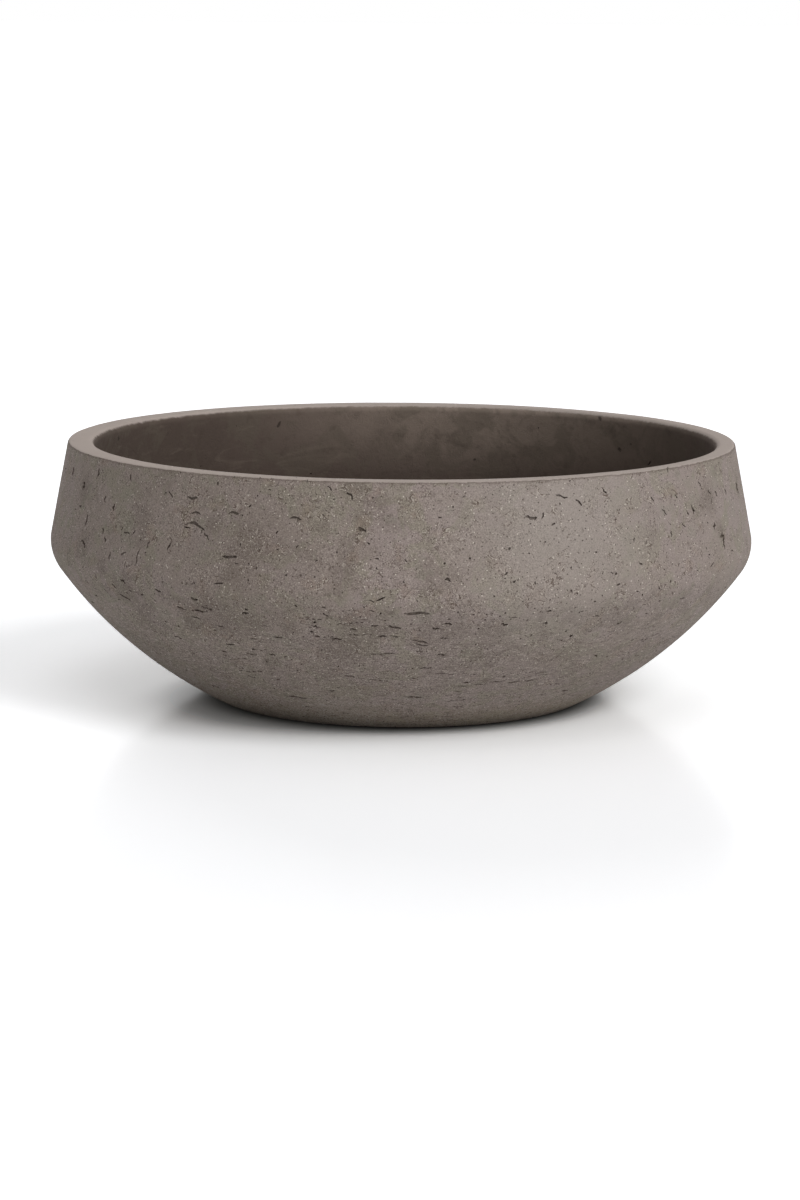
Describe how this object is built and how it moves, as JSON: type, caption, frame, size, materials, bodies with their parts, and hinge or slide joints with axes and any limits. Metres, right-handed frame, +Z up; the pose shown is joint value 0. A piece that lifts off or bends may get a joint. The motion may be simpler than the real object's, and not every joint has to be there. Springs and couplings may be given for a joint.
{
  "type": "planter",
  "caption": "Low round planter bowl: canted upper wall, soft shoulder, rounded underside on a ringed foot, and a lift-out rubber bung in its central drain hole.",
  "frame": {"origin": "on the ground, at the middle of the foot, on the bowl's axis", "axes": "+Z up along the bowl's axis; the bowl is round, so +X and +Y are free, and the picture looks along +Y from slightly above"},
  "size_m": [0.5, 0.4998, 0.1835],
  "materials": {
    "cast_fiberclay": "matte",
    "black_rubber": "matte"
  },
  "bodies": {
    "bowl": {"bowl": "cast_fiberclay"},
    "plug": {"drain_plug": "black_rubber"}
  },
  "joints": [
    {"name": "plug_lift", "type": "slide", "parent": "bowl", "child": "plug", "axis": [0, 0, 1], "range_m": [0, 0.2]}
  ]
}
